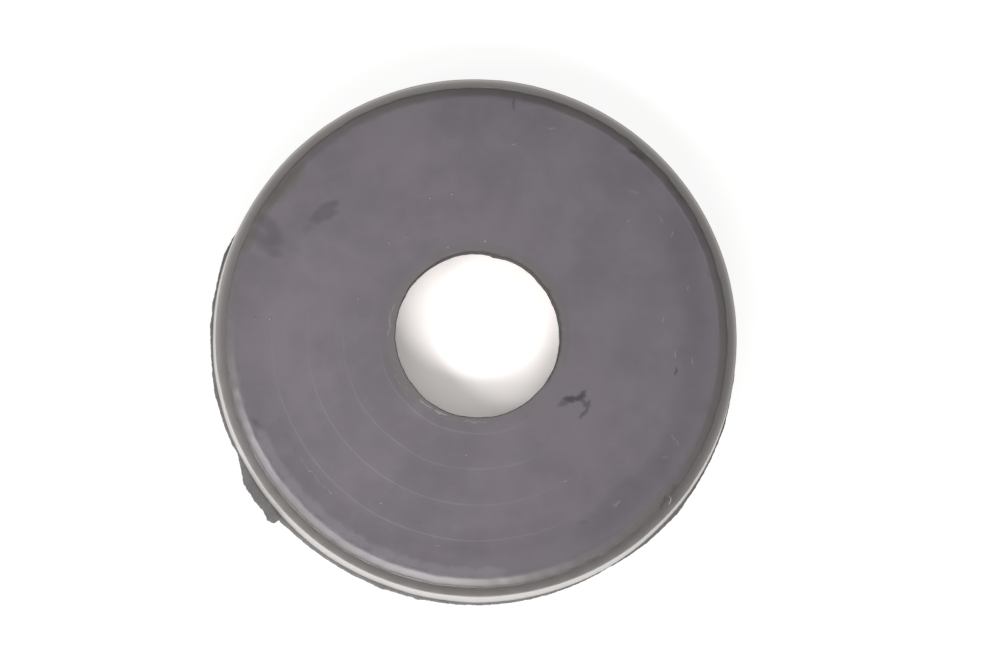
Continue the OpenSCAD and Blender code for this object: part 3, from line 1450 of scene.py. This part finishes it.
@dataclass
class FaceDust:
    """Crumbs of dust and short lint that lie on the face."""

    sizes: DiscSizes
    dust: bpy.types.Material
    specks: tuple[Speck, ...] = (
        Speck(-2.93, 16.46, 0.12),
        Speck(-5.47, 15.97, 0.13),
        Speck(-10.2, 10.67, 0.14),
        Speck(-8.24, 11.39, 0.12),
        Speck(-3.38, 10.26, 0.15),
        Speck(0.9, 11.0, 0.15),
        Speck(4.26, 22.38, 0.10),
        Speck(17.59, 13.47, 0.12),
        Speck(-23.85, 1.73, 0.13),
        Speck(-25.57, 1.83, 0.12),
        Speck(-13.75, 4.13, 0.11),
        Speck(-1.28, -13.85, 0.11),
        Speck(0.91, -17.18, 0.11),
        Speck(-11.02, -19.43, 0.12),
        Speck(10.22, -16.79, 0.12),
    )
    fibres: tuple[Fibre, ...] = (
        Fibre(((22.20, -18.42, 3.96), (22.34, -18.66, 4.04), (22.33, -18.95, 4.00),
               (22.19, -19.20, 3.90), (22.03, -19.42, 3.80)), 0.05),
    )
    # Share of a crumb's half length and lift of each of its rings, from the face up.
    crumb_rings: Knots = ((1.0, -0.01), (0.85, 0.35), (0.45, 0.6))
    crumb_sides: int = 9
    crumb_slim: float = 0.62
    fibre_sides: int = 6

    def build(self) -> bpy.types.Object:
        """Build all the specks as low irregular crumbs, and the fibres, in one mesh.

        Returns:
            The dust's object.
        """
        rng = np.random.default_rng(7)
        verts: list[tuple[float, float, float]] = []
        faces: list[tuple[int, ...]] = []
        sides = self.crumb_sides
        for speck in self.specks:
            first = len(verts)
            z = self.face_height(math.hypot(speck.x, speck.y))
            turn = rng.uniform(0, math.tau)
            for share, lift in self.crumb_rings:
                for k in range(sides):
                    angle = math.tau * k / sides
                    reach = speck.size * share * rng.uniform(0.75, 1.2)
                    dx = reach * math.cos(angle)
                    dy = self.crumb_slim * reach * math.sin(angle)
                    x = speck.x + dx * math.cos(turn) - dy * math.sin(turn)
                    y = speck.y + dx * math.sin(turn) + dy * math.cos(turn)
                    verts.append((x * MM, y * MM, (z + lift * speck.size) * MM))
            rows = len(self.crumb_rings) - 1
            faces.extend(tube_faces(first, rows, sides))
            faces.append(tuple(first + rows * sides + k for k in range(sides)))
        for fibre in self.fibres:
            self.add_fibre(fibre, verts, faces)
        mesh = bpy.data.meshes.new("face_dust")
        mesh.from_pydata(verts, [], faces)
        mesh.update()
        return place("face_dust", mesh, (self.dust,))

    def add_fibre(
        self,
        fibre: Fibre,
        verts: list[tuple[float, float, float]],
        faces: list[tuple[int, ...]],
    ) -> None:
        """Add one fibre as a thin closed tube that tapers to its ends.

        Args:
            fibre: Fibre to add.
            verts: Points of the mesh in metres, which take the tube's.
            faces: Faces of the mesh, which take the tube's.
        """
        line = np.array(fibre.points)
        places = np.linspace(0.0, len(line) - 1.0, 4 * len(line))
        steps = np.arange(len(line))
        path = np.stack([np.interp(places, steps, line[:, k]) for k in range(3)], axis=1)
        ahead = np.gradient(path, axis=0)
        sides = self.fibre_sides
        first = len(verts)
        for number, (point, along) in enumerate(zip(path, ahead)):
            across = np.array([-along[1], along[0], 0.0]) / math.hypot(along[0], along[1])
            end = min(number, len(path) - 1 - number) / (len(path) - 1)
            reach = fibre.half_width * min(1.0, 0.3 + 4.0 * end)
            for k in range(sides):
                angle = math.tau * k / sides
                upward = np.array([0.0, 0.0, math.sin(angle)])
                spot = point + reach * (math.cos(angle) * across + upward)
                verts.append(tuple(spot * MM))
        faces.extend(tube_faces(first, len(path) - 1, sides))
        last = first + (len(path) - 1) * sides
        faces.append(tuple(first + k for k in reversed(range(sides))))
        faces.append(tuple(last + k for k in range(sides)))

    def face_height(self, radius: float) -> float:
        """Give the solid's height at a radius, counting the turned steps.

        Args:
            radius: Distance from the bore's axis in millimetres.

        Returns:
            Height above the resting surface in millimetres.
        """
        s = self.sizes
        starts = (s.step_first_r + k * s.step_pitch for k in range(s.step_count))
        passed = sum(1 for start in starts if radius > start)
        return s.total_h - passed * s.step_h


@dataclass
class PhotoCamera:
    """Camera at the photograph's viewing angle, nearly above the disc."""

    sizes: DiscSizes
    distance_mm: float = 518.4
    tilt_deg: float = 7.76
    side_deg: float = 248.2
    image_px: float = 1000.0
    focal_px: float = 4500.0
    disc_right_px: float = -22.8
    disc_up_px: float = -1.9

    def build(self) -> bpy.types.Object:
        """Build the camera and make it the scene's.

        Returns:
            The camera's object.
        """
        data = bpy.data.cameras.new("photo_camera")
        data.sensor_width = 36.0
        data.lens = self.focal_px / self.image_px * data.sensor_width
        data.clip_start = 0.01
        data.clip_end = 10.0
        camera = bpy.data.objects.new("photo_camera", data)
        bpy.context.scene.collection.objects.link(camera)
        tilt = math.radians(self.tilt_deg)
        side = math.radians(self.side_deg)
        outward = Vector((math.sin(tilt) * math.cos(side), math.sin(tilt) * math.sin(side),
                          math.cos(tilt)))
        photo_up = Vector((0.0, 1.0, 0.0))
        right = (-outward).cross(photo_up).normalized()
        up = right.cross(-outward)
        aim = (-outward * self.focal_px - right * self.disc_right_px - up * self.disc_up_px)
        forward = aim.normalized()
        right = forward.cross(photo_up).normalized()
        up = right.cross(forward)
        eye = outward * self.distance_mm * MM + Vector((0, 0, self.sizes.total_h * MM))
        turn = Matrix((right, up, -forward)).transposed().to_4x4()
        camera.matrix_world = Matrix.Translation(eye) @ turn
        bpy.context.scene.camera = camera
        return camera


@dataclass(frozen=True)
class SoftBox:
    """One lamp with a wide cloth front, by its place round the disc and its size."""

    name: str
    side_deg: float
    up_deg: float
    far_mm: float
    wide_mm: float
    high_mm: float
    watt: float

    def build(self) -> bpy.types.Object:
        """Build the lamp so that its front looks at the disc.

        Returns:
            The lamp's object.
        """
        data = bpy.data.lights.new(self.name, "AREA")
        data.shape = "RECTANGLE"
        data.size = self.wide_mm * MM
        data.size_y = self.high_mm * MM
        data.energy = self.watt
        lamp = bpy.data.objects.new(self.name, data)
        bpy.context.scene.collection.objects.link(lamp)
        side, up = math.radians(self.side_deg), math.radians(self.up_deg)
        away = Vector((math.cos(up) * math.cos(side), math.cos(up) * math.sin(side), math.sin(up)))
        lamp.location = away * self.far_mm * MM
        lamp.rotation_euler = away.to_track_quat("Z", "Y").to_euler()
        return lamp


@dataclass
class Studio:
    """White card, three soft boxes low on the near and left sides, a weak fill from the
    far side and an even pale sky."""

    boxes: tuple[SoftBox, ...] = (
        SoftBox("near_soft_box", 264.0, 37.0, 260.0, 130.0, 50.0, 0.42),
        SoftBox("middle_soft_box", 234.0, 37.0, 260.0, 80.0, 50.0, 0.15),
        SoftBox("left_soft_box", 203.0, 37.0, 260.0, 80.0, 50.0, 0.21),
        SoftBox("far_fill_box", 40.0, 55.0, 300.0, 180.0, 160.0, 0.135),
    )
    sky: float = 0.40
    card_colour: str = "#f7f2ef"
    seen_gain: float = 1.33
    ground_mm: float = 900.0
    glow_from_mm: float = 12.0
    glow_to_mm: float = 29.0
    glow: float = 0.86
    ground_drop_mm: float = 0.02

    def ground_material(self) -> bpy.types.Material:
        """Build the ground: white card that glows to the camera outside the disc.

        Returns:
            The ground's material. The card keeps its shadow inside the bore.
        """
        material, tree = blank_material("white_card")
        coords = add_node(tree, "ShaderNodeTexCoord")
        rays = add_node(tree, "ShaderNodeLightPath")
        plain = linear_from_hex(self.card_colour)
        bright = tuple(share * self.seen_gain for share in plain[:3]) + (1.0,)
        tone = add_node(tree, "ShaderNodeMix", {
            "data_type": "RGBA", "in:6": plain, "in:7": bright,
        }, {"0": rays.outputs["Is Camera Ray"]})
        card = add_node(tree, "ShaderNodeBsdfDiffuse", None, {"Color": tone.outputs[2]})
        flat = add_node(tree, "ShaderNodeVectorMath",
                        {"operation": "MULTIPLY", "in:1": (1.0, 1.0, 0.0)},
                        {"0": coords.outputs["Object"]})
        radius = add_node(tree, "ShaderNodeVectorMath", {"operation": "LENGTH"},
                          {"0": flat.outputs["Vector"]})
        outside = add_node(tree, "ShaderNodeMapRange", {
            "interpolation_type": "SMOOTHSTEP",
            "in:From Min": self.glow_from_mm * MM, "in:From Max": self.glow_to_mm * MM,
            "in:To Min": 0.0, "in:To Max": self.glow,
        }, {"Value": radius.outputs["Value"]})
        seen = add_node(tree, "ShaderNodeMath", {"operation": "MAXIMUM"}, {
            "0": rays.outputs["Is Camera Ray"], "1": rays.outputs["Is Glossy Ray"]})
        seen_all = add_node(tree, "ShaderNodeMath", {"operation": "MAXIMUM"}, {
            "0": seen.outputs["Value"], "1": rays.outputs["Is Transmission Ray"]})
        share = add_node(tree, "ShaderNodeMath", {"operation": "MULTIPLY"}, {
            "0": seen_all.outputs["Value"], "1": outside.outputs["Result"]})
        glow = add_node(tree, "ShaderNodeEmission", {"in:Strength": 1.0,
                                                     "in:Color": (1.0, 1.0, 1.0, 1.0)})
        mixed = add_node(tree, "ShaderNodeMixShader", None, {
            "0": share.outputs["Value"], "1": card.outputs["BSDF"],
            "2": glow.outputs["Emission"]})
        add_node(tree, "ShaderNodeOutputMaterial", None, {"Surface": mixed.outputs["Shader"]})
        return material

    def build(self) -> bpy.types.Object:
        """Build the ground, the lamps and the sky.

        Returns:
            The ground's object.
        """
        half = self.ground_mm * MM
        mesh = bpy.data.meshes.new("white_ground")
        mesh.from_pydata([(-half, -half, 0), (half, -half, 0), (half, half, 0), (-half, half, 0)],
                         [], [(0, 1, 2, 3)])
        ground = place("white_ground", mesh, (self.ground_material(),))
        # A hair below the foot ring, so that the two surfaces do not share one plane.
        ground.location.z = -self.ground_drop_mm * MM
        for box in self.boxes:
            box.build()
        world = bpy.data.worlds.new("plain_sky")
        world.use_nodes = True
        tree = world.node_tree
        tree.nodes.clear()
        rays = add_node(tree, "ShaderNodeLightPath")
        strength = add_node(tree, "ShaderNodeMapRange", {
            "in:To Min": self.sky, "in:To Max": 1.0,
        }, {"Value": rays.outputs["Is Camera Ray"]})
        sky = add_node(tree, "ShaderNodeBackground", {"in:Color": (1.0, 1.0, 1.0, 1.0)},
                       {"Strength": strength.outputs["Result"]})
        add_node(tree, "ShaderNodeOutputWorld", None, {"Surface": sky.outputs["Background"]})
        bpy.context.scene.world = world
        return ground


def main() -> None:
    """Build the dressed grommet, its studio and its camera."""
    logging.basicConfig(level=logging.INFO, format="%(name)s: %(message)s")
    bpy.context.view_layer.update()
    bpy.context.scene.view_settings.view_transform = "Standard"
    sizes = DiscSizes()
    PhotoCamera(sizes).build()
    LOG.info("camera set")
    Studio().build()
    LOG.info("studio set")
    rubber = MouldedRubber().dress()
    body = DiscBody(sizes, rubber, PolishedRubber().dress(), PunchedRubber().dress()).build()
    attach(body, "root")
    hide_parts("grommet")
    LOG.info("disc body: %d faces", len(body.data.polygons))
    flash = PartingFlash(sizes, TornRubber().dress()).build()
    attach(flash, "root")
    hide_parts("grommet")
    LOG.info("parting flash: %d faces", len(flash.data.polygons))
    dust = FaceDust(sizes, WorkshopDust().dress()).build()
    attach(dust, "root")
    LOG.info("face dust: %d faces", len(dust.data.polygons))


if __name__ == "__main__":
    main()
